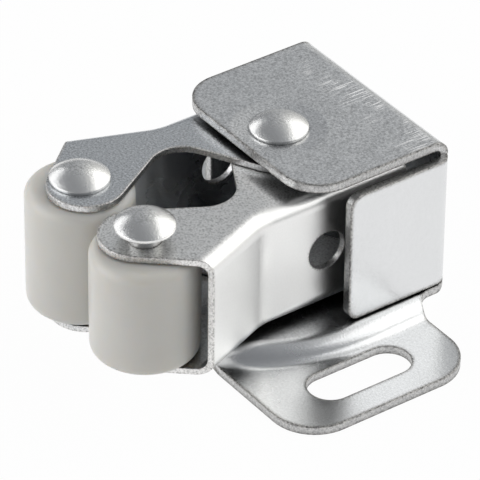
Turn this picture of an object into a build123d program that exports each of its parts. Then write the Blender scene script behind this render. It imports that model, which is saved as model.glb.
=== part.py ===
from build123d import *
import os
from math import acos, asin, atan2, cos, degrees, hypot, radians, sin, sqrt

# Double roller catch for a cabinet door. Two spring-loaded arms, each with a nylon roller at
# its nose, swing on one rivet inside a folded sheet housing. The housing is screwed down
# through a slotted ear on each side, and a strike on the door pushes in between the rollers.
#
# Frame: millimetres. The origin lies on the mounting surface, midway between the two screw
# slots. +X runs across the catch towards the inner arm, -Y points at the strike, +Z is up.

# Housing sheet and its overall folds
sheet = 0.8
base_rise = 1.5
body_height = 17.1
body_back = 13.5
bend_inside = 0.6
cover_width = 20.0
cover_front = -1.7
cover_corner = 3.8
tab_margin = 0.9

# Mounting ears, joggled down from the raised base
ear_width = 9.6
ear_length = 19.3
ear_corner = 4.3
ear_root_fillet = 1.6
ear_flat_margin = 0.1
slot_margin = 4.85
slot_width = 4.2
slot_length = 10.5
joggle_bend = 0.9
joggle_angle = 60.0
joggle_front_bend = 1.8
joggle_front_angle = 45.0
joggle_front_inset = 6.0

# Side tabs, folded forward from the back
tab_front = 2.3
tab_corner = 1.1
tab_gap_below = 0.2
tab_gap_above = 0.7
slit = 0.12

# Pivot rivet through cover, arms and base
pivot_y = 2.4
pivot_shank = 3.4
pivot_head = 5.3
pivot_tail_head = 4.8
pivot_tail_height = 1.0
dish_width = 8.6
dish_depth = 0.14
rivet_fit = 0.02

# Arms: channels of thinner sheet, the inner one nested in the outer one
arm_sheet = 0.6
float_below = 0.1
float_above = 0.5
nest_gap = 0.05
arm_bend_outside = 1.5
arm_side_room = 1.7
wall_splay = 21.0
splay_blend = 5.0
wall_end_setback = 2.75
tail_length = 7.9
tail_flange_inset = 2.9
wall_hole = 3.8
wall_hole_ahead = 0.8
nose_radius = 3.5
nose_inset = 1.0
throat_radius = 3.05
throat_offset = 4.4
throat_share = 0.52
splay_share = 0.417
lobe_radius = 4.4
running_fit = 0.05

# Rollers and the rivets that carry them
roller_width = 9.75
roller_gap = 0.2
roller_ahead = 17.75
roller_end_play = 0.15
roller_edge = 0.9
axle_shank = 3.0
axle_head = 5.4
axle_tail_head = 4.4
axle_tail_height = 0.9
axle_grip_play = 0.1
inner_axle_drop = 0.05

# Rivet heads are low domes over a thin rim
dome_height = 1.3
dome_rim = 0.3

# Torsion spring round the pivot rivet, its legs bearing on the arm tails
wire = 1.0
coil_radius = 2.9
coil_turns = 6
coil_pitch = 1.1
leg_contact = 6.0
leg_clearance = 0.1

# Levels and places that follow from the sizes above
tab_span = cover_width + 2 * tab_margin
ear_span = tab_span + 2 * ear_width
slot_spacing = ear_span - 2 * slot_margin
wall_offset = tab_span / 2 - sheet - arm_side_room
arm_reach = roller_ahead - wall_end_setback
throat_ahead = throat_share * roller_ahead
splay_start = splay_share * roller_ahead
base_top = base_rise + sheet
cover_under = body_height - sheet
outer_bottom = base_top + float_below
outer_top = cover_under - float_above
inner_bottom = outer_bottom + arm_sheet + nest_gap
inner_top = outer_top - arm_sheet - nest_gap
bend_outside = bend_inside + sheet
roller_x = (roller_width + roller_gap) / 2
mid_level = (inner_bottom + inner_top) / 2
axle_grip = outer_top - outer_bottom + axle_grip_play


def block(x, y, z):
    """A box given by its low and high limits along each axis."""
    size = [high - low for low, high in (x, y, z)]
    return Pos(x[0], y[0], z[0]) * Box(*size, align=(Align.MIN, Align.MIN, Align.MIN))


def edges_along(part, axis, a, b):
    """Edges of a part that run along an axis through the point (a, b) of the two others."""
    others = [n for n in range(3) if n != "XYZ".index(axis)]
    direction = {"X": Axis.X, "Y": Axis.Y, "Z": Axis.Z}[axis]
    found = []
    for edge in part.edges().filter_by(direction):
        centre = edge.center()
        place = [(centre.X, centre.Y, centre.Z)[n] for n in others]
        if abs(place[0] - a) < 0.01 and abs(place[1] - b) < 0.01:
            found.append(edge)
    return found


def joggle_run(bend, tilt):
    """How far the step down to the ear reaches across the catch."""
    angle = radians(tilt)
    middle = bend + sheet / 2
    drop = 2 * middle * (1 - cos(angle))
    straight = (base_rise - drop) / sin(angle)
    return 2 * middle * sin(angle) + straight * cos(angle)


def joggle_section(start, bend, tilt, outer_x):
    """Half section of the base sheet across the catch, stepping down to the ear from x = start."""
    angle = radians(tilt)
    end = start + joggle_run(bend, tilt)
    upper = bend
    lower = bend + sheet
    # underside from the raised middle down to the ear, then the top face back again
    a = (start, base_rise)
    b = (start + upper * sin(angle), base_rise - upper * (1 - cos(angle)))
    c = (end - lower * sin(angle), lower * (1 - cos(angle)))
    d = (end, 0)
    e = (end, sheet)
    f = (end - upper * sin(angle), sheet + upper * (1 - cos(angle)))
    g = (start + lower * sin(angle), base_top - lower * (1 - cos(angle)))
    h = (start, base_top)
    half = angle / 2
    ab = (start + upper * sin(half), base_rise - upper * (1 - cos(half)))
    cd = (end - lower * sin(half), lower * (1 - cos(half)))
    ef = (end - upper * sin(half), sheet + upper * (1 - cos(half)))
    gh = (start + lower * sin(half), base_top - lower * (1 - cos(half)))
    outline = [
        Line((0, base_rise), a),
        ThreePointArc(a, ab, b),
        Line(b, c),
        ThreePointArc(c, cd, d),
        Line(d, (outer_x, 0)),
        Line((outer_x, 0), (outer_x, sheet)),
        Line((outer_x, sheet), e),
        ThreePointArc(e, ef, f),
        Line(f, g),
        ThreePointArc(g, gh, h),
        Line(h, (0, base_top)),
        Line((0, base_top), (0, base_rise)),
    ]
    return make_face(outline)


def ear_plan():
    """Plan outline of the base: two rounded ears and the strip that runs to the back."""
    half = ear_length / 2
    ears = RectangleRounded(ear_span, ear_length, ear_corner)
    strip = Pos(0, half) * Rectangle(tab_span, 2 * (body_back - half))
    plan = ears + strip
    beside_strip = [v for v in plan.vertices() if abs(abs(v.X) - tab_span / 2) < 0.01]
    roots = [v for v in beside_strip if abs(v.Y - half) < 0.01]
    return fillet(roots, ear_root_fillet)


def base_sheet():
    """The raised base with both ears. Its steps draw closer together and soften to the front."""
    front = -ear_length / 2
    bend_line = body_back - bend_outside
    flat_start = tab_span / 2 + joggle_run(joggle_bend, joggle_angle) + ear_flat_margin
    behind_tabs = (tab_front + bend_line) / 2
    sections = []
    for y in (front, (front + tab_front) / 2, tab_front, behind_tabs, bend_line):
        # beside the tabs the step is straight, and from there it eases away
        ease = max(0, (tab_front - y) / (tab_front - front)) ** 2
        start = tab_span / 2 - ease * joggle_front_inset
        bend = joggle_bend + ease * (joggle_front_bend - joggle_bend)
        tilt = joggle_angle + ease * (joggle_front_angle - joggle_angle)
        across_catch = Plane(origin=(0, y, 0), x_dir=(1, 0, 0), z_dir=(0, -1, 0))
        sections.append(across_catch * joggle_section(start, bend, tilt, flat_start))
    right = loft(sections) + block((flat_start, ear_span / 2), (front, bend_line), (0, sheet))
    both = right + mirror(right, about=Plane.YZ)
    return both & extrude(ear_plan(), amount=base_top)


def back_and_cover():
    """The strip that folds up into the back and forward into the cover over the arms."""
    half_tabs = tab_span / 2
    outer = block((-half_tabs, half_tabs), (cover_front, body_back), (base_rise, body_height))
    outer = fillet(edges_along(outer, "X", body_back, base_rise), bend_outside)
    outer = fillet(edges_along(outer, "X", body_back, body_height), bend_outside)
    inner = block((-half_tabs, half_tabs), (cover_front, body_back - sheet), (base_top, cover_under))
    inner = fillet(edges_along(inner, "X", body_back - sheet, base_top), bend_inside)
    inner = fillet(edges_along(inner, "X", body_back - sheet, cover_under), bend_inside)
    strip = outer - inner
    # slits part the strip from the side tabs, and the cover is narrower than they are
    tab_bottom = base_top + tab_gap_below
    tab_top = cover_under - tab_gap_above
    neck = half_tabs - bend_outside
    for side in (-1, 1):
        edge = sorted((side * neck, side * (half_tabs + 1)))
        strip -= block(edge, (cover_front - 1, body_back + 1), (tab_bottom - slit, tab_top))
        edge = sorted((side * cover_width / 2, side * (half_tabs + 1)))
        strip -= block(edge, (cover_front - 1, body_back + 1), (tab_top, body_height + 1))
    # ahead of the lower bend the strip is the base sheet, and its corners are rounded in plan
    bend_line = body_back - bend_outside
    strip -= block((-half_tabs, half_tabs), (cover_front - 1, bend_line), (0, base_top))
    for side in (-1, 1):
        edge = sorted((side * neck, side * (half_tabs + 1)))
        corner = block(edge, (bend_line, body_back + 1), (0, tab_bottom))
        strip -= corner - Pos(side * neck, bend_line, 0) * Cylinder(bend_outside, 3 * tab_bottom)
    depth = body_back - cover_front
    cover_plan = Pos(0, cover_front + depth / 2) * Rectangle(tab_span + 2, depth)
    rounded = Pos(0, cover_front + depth) * RectangleRounded(cover_width, 2 * depth, cover_corner)
    front_zone = Pos(0, cover_front) * Rectangle(tab_span + 2, 2 * cover_corner)
    trim = cover_plan - front_zone + (rounded & front_zone)
    return strip & extrude(trim, amount=body_height)


def side_tabs():
    """Both tabs with the part of the back that they fold from."""
    half_tabs = tab_span / 2
    tab_bottom = base_top + tab_gap_below
    tab_top = cover_under - tab_gap_above
    outer = block((-half_tabs, half_tabs), (tab_front, body_back), (tab_bottom, tab_top))
    inner_x = half_tabs - sheet
    inner = block((-inner_x, inner_x), (tab_front - 1, body_back - sheet), (tab_bottom, tab_top))
    for side in (-1, 1):
        outer = fillet(edges_along(outer, "Z", side * half_tabs, body_back), bend_outside)
        inner = fillet(edges_along(inner, "Z", side * inner_x, body_back - sheet), bend_inside)
    tabs = outer - inner
    corners = edges_along(tabs, "X", tab_front, tab_bottom) + edges_along(tabs, "X", tab_front, tab_top)
    return fillet(corners, tab_corner)


def make_housing():
    """One folded sheet: base with ears, back, cover and side tabs, with its punched holes."""
    housing = base_sheet() + back_and_cover() + side_tabs()
    for side in (-1, 1):
        slot = Pos(side * slot_spacing / 2, 0) * Rot(0, 0, 90) * SlotOverall(slot_length, slot_width)
        housing -= extrude(slot, amount=base_top)
    hole = Cylinder(pivot_shank / 2 + rivet_fit, 2 * body_height)
    housing -= Pos(0, pivot_y, 0) * hole
    # the cover is dished where the rivet was headed
    inner_radius = pivot_head / 2
    outer_radius = dish_width / 2
    dish = Cone(inner_radius, outer_radius, dish_depth, align=(Align.CENTER, Align.CENTER, Align.MAX))
    return housing - Pos(0, pivot_y, body_height) * dish


def rivet(shank, head, grip, tail_head, tail_height):
    """A rivet on the Z axis. Its head bears at z = 0 and its closed end at z = -grip."""
    radius = head / 2
    cap = dome_height - dome_rim
    ball = (radius ** 2 + cap ** 2) / (2 * cap)
    half = asin(radius / ball) / 2
    shoulder = (ball * sin(half), dome_height - ball * (1 - cos(half)))
    tail = tail_head / 2
    low = -grip - tail_height
    rounding = 0.6 * tail_height
    quarter = rounding * sin(radians(45))
    rim = (tail - rounding + quarter, low + rounding - quarter)
    profile = [
        Line((0, dome_height), (0, low)),
        Line((0, low), (tail - rounding, low)),
        ThreePointArc((tail - rounding, low), rim, (tail, low + rounding)),
        Line((tail, low + rounding), (tail, -grip)),
        Line((tail, -grip), (shank / 2, -grip)),
        Line((shank / 2, -grip), (shank / 2, 0)),
        Line((shank / 2, 0), (radius, 0)),
        Line((radius, 0), (radius, dome_rim)),
        ThreePointArc((radius, dome_rim), shoulder, (0, dome_height)),
    ]
    return revolve(Plane.XZ * make_face(profile), Axis.Z)


def turned(centre, radius, angle):
    """The point at an angle in degrees on a circle."""
    return (centre[0] + radius * cos(radians(angle)), centre[1] + radius * sin(radians(angle)))


def arm_plan():
    """Plan outline of an arm that lies at +X, about its pivot at the origin.

    The side wall ends square, and from there the front edge runs slantwise to the round nose.
    The inner edge then sweeps round the throat to the lobe about the pivot, and back to the
    tail of the wall. Outboard the outline reaches past the wall, which bounds the arm there.
    """
    splay = radians(wall_splay)
    ahead = arm_reach - splay_start
    corner = (wall_offset + ahead * sin(splay) / cos(splay), -arm_reach)
    shoulder = (corner[0] - arm_sheet * cos(splay), corner[1] - arm_sheet * sin(splay))
    beyond = (corner[0] + arm_sheet * cos(splay), corner[1] + arm_sheet * sin(splay))
    nose = (roller_x - nose_inset, -roller_ahead)
    throat = (throat_offset - throat_radius, -throat_ahead)
    tail_in = (wall_offset - tail_flange_inset, tail_length)

    # slanted front edge, tangent to the nose
    reach = (shoulder[0] - nose[0], shoulder[1] - nose[1])
    first = degrees(atan2(reach[1], reach[0]) - acos(nose_radius / hypot(*reach)))
    nose_start = turned(nose, nose_radius, first)

    # the straight stretch from nose to throat crosses between their circles
    span = hypot(throat[0] - nose[0], throat[1] - nose[1])
    crossing = degrees(asin((nose_radius + throat_radius) / span))
    heading_in = degrees(atan2(throat[1] - nose[1], throat[0] - nose[0])) - crossing
    nose_end = turned(nose, nose_radius, heading_in + 90)
    throat_start = turned(throat, throat_radius, heading_in - 90)

    # and so does the one from throat to lobe
    span = hypot(*throat)
    crossing = degrees(asin((throat_radius + lobe_radius) / span))
    heading_back = degrees(atan2(-throat[1], -throat[0])) + crossing
    throat_end = turned(throat, throat_radius, heading_back - 90)
    lobe_start = turned((0, 0), lobe_radius, heading_back + 90)
    last = degrees(atan2(tail_in[1], tail_in[0]) + acos(lobe_radius / hypot(*tail_in)))
    lobe_end = turned((0, 0), lobe_radius, last)

    nose_tip = turned(nose, nose_radius, (first + heading_in + 90) / 2 - 180)
    throat_mid = turned(throat, throat_radius, (heading_in + heading_back) / 2 - 90)
    lobe_mid = (-lobe_radius, 0)
    outline = [
        Line((beyond[0], tail_length), beyond),
        Line(beyond, shoulder),
        Line(shoulder, nose_start),
        ThreePointArc(nose_start, nose_tip, nose_end),
        Line(nose_end, throat_start),
        ThreePointArc(throat_start, throat_mid, throat_end),
        Line(throat_end, lobe_start),
        ThreePointArc(lobe_start, lobe_mid, lobe_end),
        Line(lobe_end, tail_in),
        Line(tail_in, (beyond[0], tail_length)),
    ]
    return make_face(outline)


def inboard(inset, bottom, top, bend):
    """All that lies inboard of the side wall, whose outer face is moved in by inset."""
    splay = radians(wall_splay)
    face = wall_offset - inset
    kink = (face, -splay_start - inset * (1 - cos(splay)) / sin(splay))
    far = 3 * arm_reach
    end = (face + (far + kink[1]) * sin(splay) / cos(splay), -far)
    plan = make_face(Polyline((face, far), kink, end, (-far, -far), (-far, far), close=True))
    plan = fillet([v for v in plan.vertices() if abs(v.Y - kink[1]) < 0.01], splay_blend + inset)
    solid = Pos(0, 0, bottom) * extrude(plan, amount=top - bottom)
    along_wall = []
    for edge in solid.edges():
        ends = (edge @ 0, edge @ 1)
        flat = abs(ends[0].Z - ends[1].Z) < 0.01
        if flat and min(p.X for p in ends) > face - 0.01:
            along_wall.append(edge)
    return fillet(along_wall, bend)


def make_arm(bottom, top):
    """A channel with a splayed wall between two flanges, lying at +X of its pivot."""
    bend_within = arm_bend_outside - arm_sheet
    outside = inboard(0, bottom, top, arm_bend_outside)
    inside = inboard(arm_sheet, bottom + arm_sheet, top - arm_sheet, bend_within)
    arm = (outside - inside) & extrude(arm_plan(), amount=body_height)
    pivot_hole = Cylinder(pivot_shank / 2 + running_fit, 2 * body_height)
    axle_hole = Cylinder(axle_shank / 2 + rivet_fit, 2 * body_height)
    outward = (Align.CENTER, Align.CENTER, Align.MIN)
    side_hole = Rot(0, 90, 0) * Cylinder(wall_hole / 2, 2 * wall_offset, align=outward)
    arm -= pivot_hole
    arm -= Pos(roller_x, -roller_ahead, 0) * axle_hole
    return arm - Pos(wall_offset / 2, -wall_hole_ahead, (bottom + top) / 2) * side_hole


def make_roller(length):
    """A moulded nylon roller with rounded rims, on the Z axis with its lower end at z = 0."""
    radius = roller_width / 2
    bore = axle_shank / 2 + running_fit
    roller = Cylinder(radius, length, align=(Align.CENTER, Align.CENTER, Align.MIN))
    roller = fillet(roller.edges(), roller_edge)
    return roller - Cylinder(bore, 3 * length)


def make_spring():
    """A coil about the pivot with two straight legs, each ending against the tail of an arm."""
    foot_x = wall_offset - arm_sheet - leg_clearance - wire / 2
    length = sqrt(foot_x ** 2 + leg_contact ** 2 - coil_radius ** 2)
    tangent = degrees(acos(coil_radius / hypot(foot_x, leg_contact)))
    first = 180 - degrees(atan2(leg_contact, foot_x)) + tangent
    last = 540 - first
    height = coil_pitch * (coil_turns + (last - first) / 360)
    coil = Pos(0, 0, mid_level - height / 2) * Rot(0, 0, first) * Helix(coil_pitch, height, coil_radius)
    section = Plane(origin=coil @ 0, z_dir=coil % 0) * Circle(wire / 2)
    spring = sweep(section, path=coil, is_frenet=True)
    # each leg carries on in the direction in which the wire leaves the coil
    for end, direction in ((coil @ 0, -(coil % 0)), (coil @ 1, coil % 1)):
        leg = Plane(origin=end, z_dir=direction) * Circle(wire / 2)
        spring += extrude(leg, amount=length)
    return spring


def at_pivot(part):
    """Moves a part built about its pivot to the pivot's place in the catch."""
    return Pos(0, pivot_y, 0) * part


def across(part):
    """The mirror image of a part, on the other side of the catch."""
    return mirror(part, about=Plane.YZ)


outer_roller_length = outer_top - outer_bottom - 2 * arm_sheet - 2 * roller_end_play
inner_roller_length = inner_top - inner_bottom - 2 * arm_sheet - 2 * roller_end_play
outer_roller_low = outer_bottom + arm_sheet + roller_end_play
inner_roller_low = inner_bottom + arm_sheet + roller_end_play
inner_axle_level = inner_bottom + axle_grip - inner_axle_drop
pivot_grip = body_height - dish_depth - base_rise

axle = rivet(axle_shank, axle_head, axle_grip, axle_tail_head, axle_tail_height)
pivot = rivet(pivot_shank, pivot_head, pivot_grip, pivot_tail_head, pivot_tail_height)
outer_roller = make_roller(outer_roller_length)
inner_roller = make_roller(inner_roller_length)

parts = {
    "housing": make_housing(),
    "pivot_rivet": at_pivot(Pos(0, 0, body_height - dish_depth) * pivot),
    "arm_spring": at_pivot(make_spring()),
    "inner_arm": at_pivot(make_arm(inner_bottom, inner_top)),
    "outer_arm": across(at_pivot(make_arm(outer_bottom, outer_top))),
    "inner_axle_rivet": at_pivot(Pos(roller_x, -roller_ahead, inner_axle_level) * axle),
    "outer_axle_rivet": at_pivot(Pos(-roller_x, -roller_ahead, outer_top) * axle),
    "inner_roller": at_pivot(Pos(roller_x, -roller_ahead, inner_roller_low) * inner_roller),
    "outer_roller": at_pivot(Pos(-roller_x, -roller_ahead, outer_roller_low) * outer_roller),
}

os.makedirs("parts", exist_ok=True)
for name, part in parts.items():
    export_step(part, f"parts/{name}.step")
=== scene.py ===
from math import cos, radians, sin

import bpy
from mathutils import Matrix, Vector

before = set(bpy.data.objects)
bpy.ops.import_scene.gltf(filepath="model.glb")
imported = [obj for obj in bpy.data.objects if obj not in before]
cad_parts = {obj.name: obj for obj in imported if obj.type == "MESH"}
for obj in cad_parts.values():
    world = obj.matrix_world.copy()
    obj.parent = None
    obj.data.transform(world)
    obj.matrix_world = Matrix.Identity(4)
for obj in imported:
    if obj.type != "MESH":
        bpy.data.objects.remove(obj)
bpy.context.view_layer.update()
MM = 0.001


# The stand point of the photograph. The catch is seen from the front right and from above,
# through a long lens, so that its upright edges stay nearly parallel.
view_azimuth = radians(53.97)
view_elevation = radians(35.28)
view_roll = radians(0.67)
view_distance = 393.2 * MM
focal_pixels = 4418.2
picture_pixels = 480
aim = Vector((0, 2.4, 8.0)) * MM
aim_offset = (-3.325 * MM, -2.484 * MM)

away = Vector((
    sin(view_azimuth) * cos(view_elevation),
    -cos(view_azimuth) * cos(view_elevation),
    sin(view_elevation)))
level = Vector((cos(view_azimuth), sin(view_azimuth), 0))
upright = away.cross(level)
across = cos(view_roll) * level + sin(view_roll) * upright
upward = cos(view_roll) * upright - sin(view_roll) * level
eye = aim + away * view_distance + across * aim_offset[0] + upward * aim_offset[1]
camera_data = bpy.data.cameras.new("camera")
camera_data.sensor_width = 36
camera_data.lens = focal_pixels / picture_pixels * camera_data.sensor_width
camera_data.clip_start = 0.01
camera = bpy.data.objects.new("camera", camera_data)
camera.matrix_world = Matrix.Translation(eye) @ Matrix((across, upward, away)).transposed().to_4x4()
bpy.context.scene.collection.objects.link(camera)
bpy.context.scene.camera = camera
bpy.context.scene.view_settings.view_transform = "Standard"


def linear(code):
    """The linear colour of an sRGB hex code, with full alpha."""
    parts = [int(code[n:n + 2], 16) / 255 for n in (1, 3, 5)]
    return tuple(c / 12.92 if c < 0.04045 else ((c + 0.055) / 1.055) ** 2.4 for c in parts) + (1.0,)


def add(tree, kind, inputs=None, **options):
    """Adds a shader node. Each input is a plain value, or the output of a node to link."""
    node = tree.nodes.new("ShaderNode" + kind)
    for name, value in options.items():
        setattr(node, name, value)
    for name, value in (inputs or {}).items():
        if isinstance(value, bpy.types.NodeSocket):
            tree.links.new(value, node.inputs[name])
        else:
            node.inputs[name].default_value = value
    return node


# The studio: a dim room with one long wall of white diffusers behind the catch. Level faces
# mirror the dim end of the room, and the folds mirror the diffusers as a white band.
diffuser_azimuth = radians(170)
diffuser_elevation = radians(15)
# shade of the room by how far a direction points towards the diffusers: -1 away, 1 straight at them
room_shades = (
    (-0.45, "#7B7D80"), (-0.1, "#888A8D"), (0.26, "#929497"),
    (0.5, "#ABADAF"), (0.7, "#D3D3D1"), (0.85, "#F4F3EF"))
# height of the lower rim of the diffusers, as the sine of its elevation, and what is left under it
diffuser_rim = 0.15
under_rim = 0.45

world = bpy.data.worlds.new("studio")
bpy.context.scene.world = world
world.use_nodes = True
tree = world.node_tree
tree.nodes.clear()
direction = add(tree, "TexCoord").outputs["Generated"]
to_diffusers = (
    sin(diffuser_azimuth) * cos(diffuser_elevation),
    -cos(diffuser_azimuth) * cos(diffuser_elevation),
    sin(diffuser_elevation))
facing = add(tree, "VectorMath", {0: direction, 1: to_diffusers}, operation="DOT_PRODUCT").outputs["Value"]
spread = add(tree, "MapRange", {"Value": facing, "From Min": -1.0, "From Max": 1.0})
shades = add(tree, "ValToRGB", {"Fac": spread.outputs[0]})
ramp = shades.color_ramp
ramp.elements.remove(ramp.elements[1])
for number, (place, code) in enumerate(room_shades):
    stop = ramp.elements[0] if number == 0 else ramp.elements.new((place + 1) / 2)
    stop.position = (place + 1) / 2
    stop.color = linear(code)
# the diffusers stop short of the table, which leaves a dark line along the foot of each fold
height = add(tree, "SeparateXYZ", {"Vector": direction}).outputs["Z"]
above_table = add(tree, "MapRange", {
    "Value": height, "From Min": 0.0, "From Max": diffuser_rim, "To Min": under_rim, "To Max": 1.0})
room = add(tree, "Background", {"Color": shades.outputs["Color"], "Strength": above_table.outputs[0]})
backdrop = add(tree, "Background", {"Color": (1, 1, 1, 1), "Strength": 1.0})
seen = add(tree, "LightPath").outputs["Is Camera Ray"]
mixed = add(tree, "MixShader", {0: seen, 1: room.outputs[0], 2: backdrop.outputs[0]})
add(tree, "OutputWorld", {"Surface": mixed.outputs[0]})


# Soft boxes: azimuth from the mouth towards the right, elevation, distance, width, depth, watts.
# The long one whitens the folds and the right side of every rivet head, the second the left
# side of the heads. The last lights the rollers.
for name, azimuth, elevation, distance, width, depth, power in (
    ("fold_softbox", 158, 37, 0.5, 0.84, 0.46, 0.95),
    ("left_softbox", -70, 24, 0.45, 0.40, 0.20, 0.3),
    ("roller_softbox", -20, 20, 0.45, 0.46, 0.40, 1.15),
):
    lamp_data = bpy.data.lights.new(name, "AREA")
    lamp_data.shape = "RECTANGLE"
    lamp_data.size = width
    lamp_data.size_y = depth
    lamp_data.energy = power
    lamp = bpy.data.objects.new(name, lamp_data)
    a, e = radians(azimuth), radians(elevation)
    towards = Vector((sin(a) * cos(e), -cos(a) * cos(e), sin(e)))
    lamp.location = aim + towards * distance
    lamp.rotation_euler = towards.to_track_quat("Z", "Y").to_euler()
    bpy.context.scene.collection.objects.link(lamp)


# A sheet of white board under the catch. It is lit as white as the backdrop, so that only
# the soft shadow under the catch tells it apart.
board_size = 1.6
board_drop = 0.02
board_own_light = 0.97

board_mesh = bpy.data.meshes.new("white_board")
half = board_size / 2
corners = [(-half, -half, 0), (half, -half, 0), (half, half, 0), (-half, half, 0)]
board_mesh.from_pydata(corners, [], [(0, 1, 2, 3)])
board = bpy.data.objects.new("white_board", board_mesh)
bpy.context.scene.collection.objects.link(board)
board.location.z = -board_drop * MM
board_card = bpy.data.materials.new("matt_white_card")
board_card.use_nodes = True
tree = board_card.node_tree
tree.nodes.clear()
card = add(tree, "BsdfDiffuse", {"Color": linear("#F4F4F4")})
glow = add(tree, "Emission", {"Color": (1, 1, 1, 1), "Strength": 1.0})
path = add(tree, "LightPath")
shown = add(tree, "Math", {
    0: path.outputs["Is Camera Ray"], 1: path.outputs["Is Glossy Ray"]}, operation="MAXIMUM")
share = add(tree, "Math", {0: shown.outputs[0], 1: board_own_light}, operation="MULTIPLY")
both = add(tree, "MixShader", {0: share.outputs[0], 1: card.outputs[0], 2: glow.outputs[0]})
add(tree, "OutputMaterial", {"Surface": both.outputs[0]})
board_mesh.materials.append(board_card)


# The housing: one blank of 0.8 mm cold-rolled steel, pierced, joggled and folded, then
# barrel-plated with bright zinc. The fold at the back of the cover is scuffed by the tool.
plating_grain = 0.2
plating_clouds = 4.5
plating_bump = 0.011
level_grain = 0.35
ear_grain = 0.09
fold_grain = 0.02
barrel_rounding = 0.16
# how far the painted shade in narrow gaps reaches
gap_depth = 1.5
scuff_length = 3.2
scuff_width = 0.16
scuff_patch = 3.1
scuff_slant = radians(4)
scuff_roughness = 0.75
cover_level = 17.1
back_fold = 12.3
scuff_reach = 4.2
torn_blotch = 0.2
torn_roughness = 0.45


def zinc_plating(name, colour, roughness, grain_depth, sheet=None, torn_and_highlight_shades=None, scuffed=False):
    """Bright zinc over rolled steel: a blue-white metal with a fine pebbled grain."""
    material = bpy.data.materials.new(name)
    material.use_nodes = True
    tree = material.node_tree
    tree.nodes.clear()
    place = add(tree, "TexCoord").outputs["Object"]
    # grain of the plating, and slow clouds where it lies thicker
    grain = add(tree, "TexNoise", {
        "Vector": place, "Scale": 1 / (plating_grain * MM), "Detail": 3, "Roughness": 0.6})
    clouds = add(tree, "TexNoise", {
        "Vector": place, "Scale": 1 / (plating_clouds * MM), "Detail": 4, "Roughness": 0.55})
    rough = add(tree, "MapRange", {
        "Value": clouds.outputs["Fac"], "From Min": 0.3, "From Max": 0.7,
        "To Min": roughness - 0.04, "To Max": roughness + 0.05})
    # in the photograph the grain shows on the level faces of cover and arms, and hardly elsewhere
    facing = add(tree, "SeparateXYZ", {"Vector": add(tree, "NewGeometry").outputs["Normal"]}).outputs["Z"]
    level_face = add(tree, "MapRange", {"Value": facing, "From Min": 0.93, "From Max": 1.0})
    above_ears = add(tree, "MapRange", {
        "Value": add(tree, "SeparateXYZ", {"Vector": place}).outputs["Z"],
        "From Min": 1.5 * MM, "From Max": 6.0 * MM, "To Min": ear_grain, "To Max": level_grain})
    pebbled = add(tree, "Math", {
        0: level_face.outputs[0], 1: above_ears.outputs[0], 2: fold_grain}, operation="MULTIPLY_ADD")
    uneven = add(tree, "MapRange", {
        "Value": grain.outputs["Fac"], "From Min": 0.3, "From Max": 0.7, "To Min": -1.0, "To Max": 1.0})
    speck = add(tree, "Math", {
        0: uneven.outputs[0], 1: pebbled.outputs[0], 2: 1.0}, operation="MULTIPLY_ADD")
    tone = add(tree, "Mix", {
        0: 1.0, 6: linear(colour), 7: speck.outputs[0]}, data_type="RGBA", blend_type="MULTIPLY")
    base, dull = tone.outputs[2], rough.outputs[0]
    if scuffed:
        # short bright strokes along Y, in patches, over the last few millimetres of the cover
        axes = add(tree, "SeparateXYZ", {"Vector": place})
        strokes = add(tree, "Mapping", {
            "Vector": place, "Rotation": (0, 0, scuff_slant),
            "Scale": (1 / (scuff_width * MM), 1 / (scuff_length * MM), 1.0)})
        stroke = add(tree, "TexNoise", {
            "Vector": strokes.outputs[0], "Scale": 1.0, "Detail": 2, "Roughness": 0.5})
        patch = add(tree, "TexNoise", {"Vector": place, "Scale": 1 / (scuff_patch * MM), "Detail": 1})
        lines = add(tree, "MapRange", {"Value": stroke.outputs["Fac"], "From Min": 0.51, "From Max": 0.58})
        patches = add(tree, "MapRange", {"Value": patch.outputs["Fac"], "From Min": 0.42, "From Max": 0.56})
        behind = add(tree, "MapRange", {
            "Value": axes.outputs["Y"],
            "From Min": (back_fold - scuff_reach) * MM, "From Max": (back_fold - 1.5) * MM})
        ahead = add(tree, "MapRange", {
            "Value": axes.outputs["Y"],
            "From Min": (back_fold + 0.1) * MM, "From Max": (back_fold - 0.2) * MM})
        above = add(tree, "MapRange", {
            "Value": axes.outputs["Z"],
            "From Min": (cover_level - 0.4) * MM, "From Max": (cover_level - 0.1) * MM})
        mark = lines.outputs[0]
        for part in (patches, behind, ahead, above):
            mark = add(tree, "Math", {0: mark, 1: part.outputs[0]}, operation="MULTIPLY").outputs[0]
        base = add(tree, "Mix", {0: mark, 6: base, 7: linear("#FFFFFF")}, data_type="RGBA").outputs[2]
        dull = add(tree, "Mix", {0: mark, 2: dull, 3: scuff_roughness}, data_type="FLOAT").outputs[0]
    if sheet:
        # sheared edges are known by the two faces of the sheet close behind them: the shear
        # leaves them torn and dull, and the plating covers them thinly, in blotches; the lighter edge
        # shades of the arms are partly a painted highlight
        thin = add(tree, "AmbientOcclusion", {
            "Distance": 0.92 * sheet * MM}, samples=8, inside=True, only_local=True)
        sheared = add(tree, "MapRange", {"Value": thin.outputs["AO"], "From Min": 0.76, "From Max": 0.6})
        tears = add(tree, "TexNoise", {
            "Vector": place, "Scale": 1 / (torn_blotch * MM), "Detail": 3, "Roughness": 0.7})
        torn = add(tree, "ValToRGB", {"Fac": tears.outputs["Fac"]})
        torn.color_ramp.elements[0].position = 0.38
        torn.color_ramp.elements[0].color = linear(torn_and_highlight_shades[0])
        torn.color_ramp.elements[1].position = 0.58
        torn.color_ramp.elements[1].color = linear(torn_and_highlight_shades[1])
        base = add(tree, "Mix", {
            0: sheared.outputs[0], 6: base, 7: torn.outputs["Color"]}, data_type="RGBA").outputs[2]
        dull = add(tree, "Mix", {
            0: sheared.outputs[0], 2: dull, 3: torn_roughness}, data_type="FLOAT").outputs[0]
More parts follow.
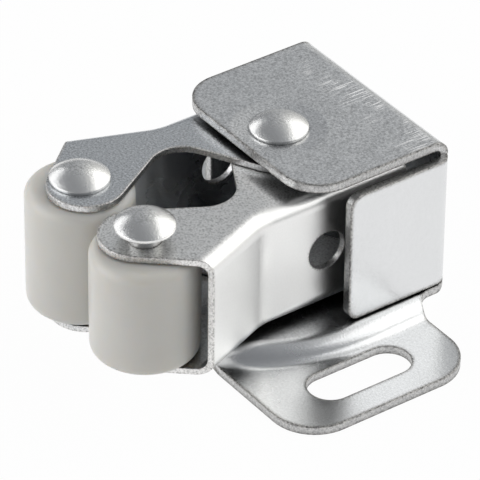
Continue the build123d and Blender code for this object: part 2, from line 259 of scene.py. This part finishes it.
    # painted shade: the colour is darkened in narrow gaps under the rivet heads and between the sheets
    open_to_air = add(tree, "AmbientOcclusion", {"Distance": gap_depth * MM}, samples=8)
    unshaded_share = add(tree, "MapRange", {
        "Value": open_to_air.outputs["AO"],
        "From Min": 0.2, "From Max": 0.75, "To Min": 0.25, "To Max": 1.0})
    painted_gap_shade = add(tree, "Mix", {
        0: 1.0, 6: base, 7: unshaded_share.outputs[0]}, data_type="RGBA", blend_type="MULTIPLY")
    # every edge is a little rounded by tumbling in the plating barrel
    rounded = add(tree, "Bevel", {"Radius": barrel_rounding * MM}, samples=6)
    bump = add(tree, "Bump", {
        "Height": grain.outputs["Fac"], "Distance": grain_depth * MM, "Strength": 1.0,
        "Normal": rounded.outputs[0]})
    shader = add(tree, "BsdfPrincipled", {
        "Base Color": painted_gap_shade.outputs[2], "Metallic": 1.0, "Roughness": dull, "Normal": bump.outputs[0]})
    add(tree, "OutputMaterial", {"Surface": shader.outputs[0]})
    return material


def dress(node, material):
    """Gives a CAD node its finish."""
    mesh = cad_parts[node].data
    mesh.materials.clear()
    mesh.materials.append(material)


housing_sheet = 0.8
housing_edges = ("#626160", "#BEBCB9")
housing_zinc = zinc_plating(
    "zinc_plated_sheet_steel", "#E2E3E4", 0.24, plating_bump, housing_sheet, housing_edges, scuffed=True)
dress("housing", housing_zinc)


# The arms: thinner sheet, pierced and folded into channels. They are plated in the same
# barrel as the housing. The inner one has a lighter colour and the outer one a darker one: painted light
# and shade on one zinc.
arm_sheet = 0.6
# edge shades of the arms: torn edges, made lighter as a painted highlight
arm_edge_shades_and_highlight = ("#A09F9D", "#F0EEEC")
outer_arm_zinc_painted_shade = zinc_plating("zinc_outer_arm_painted_shade", "#D6D9DC", 0.26, plating_bump, arm_sheet, arm_edge_shades_and_highlight)
inner_arm_zinc_painted_light = zinc_plating("zinc_inner_arm_painted_light", "#F0F0EF", 0.32, plating_bump, arm_sheet, arm_edge_shades_and_highlight)
dress("outer_arm", outer_arm_zinc_painted_shade)
dress("inner_arm", inner_arm_zinc_painted_light)


# The rivets: cold-headed steel with low domed heads. The heading tool leaves them smooth,
# and the plating is brighter on them than on the sheet.
rivet_zinc = zinc_plating("zinc_plated_rivet_steel", "#E9E9E8", 0.27, plating_bump * 1.7)
for node in ("pivot_rivet", "outer_axle_rivet", "inner_axle_rivet"):
    dress(node, rivet_zinc)


# The rollers: moulded in natural nylon, which is milky and lets a little light in. A few
# specks of dirt stick to them.
nylon_clouds = 5.0
speck_spacing = 3.4
skin_grain = 0.5
skin_bump = 0.004
milky_depth = 2.5

nylon = bpy.data.materials.new("natural_nylon")
nylon.use_nodes = True
tree = nylon.node_tree
tree.nodes.clear()
place = add(tree, "TexCoord").outputs["Object"]
clouds = add(tree, "TexNoise", {"Vector": place, "Scale": 1 / (nylon_clouds * MM), "Detail": 3})
tint = add(tree, "Mix", {
    0: clouds.outputs["Fac"], 6: linear("#D1CFC9"), 7: linear("#DAD8D3")}, data_type="RGBA")
specks = add(tree, "TexVoronoi", {"Vector": place, "Scale": 1 / (speck_spacing * MM)})
speck = add(tree, "MapRange", {
    "Value": specks.outputs["Distance"], "From Min": 0.02, "From Max": 0.05, "To Min": 0.55, "To Max": 0.0})
dirty = add(tree, "Mix", {
    0: speck.outputs[0], 6: tint.outputs[2], 7: linear("#7A7068")}, data_type="RGBA")
skin = add(tree, "TexNoise", {"Vector": place, "Scale": 1 / (skin_grain * MM), "Detail": 2})
bump = add(tree, "Bump", {"Height": skin.outputs["Fac"], "Distance": skin_bump * MM})
satin = add(tree, "MapRange", {"Value": clouds.outputs["Fac"], "To Min": 0.27, "To Max": 0.36})
shader = add(tree, "BsdfPrincipled", {
    "Base Color": dirty.outputs[2], "Roughness": satin.outputs[0], "IOR": 1.53, "Normal": bump.outputs[0],
    "Subsurface Weight": 0.7, "Subsurface Scale": milky_depth * MM, "Subsurface Radius": (1.0, 0.8, 0.6)})
add(tree, "OutputMaterial", {"Surface": shader.outputs[0]})
dress("outer_roller", nylon)
dress("inner_roller", nylon)


# The spring: drawn music wire, wound round the pivot rivet with its legs against the arms.
# It is left unplated, so it is darker than the sheet, with fine drawing lines.
wire_steel = zinc_plating("drawn_spring_wire", "#77787B", 0.3, plating_bump * 0.5)
dress("arm_spring", wire_steel)
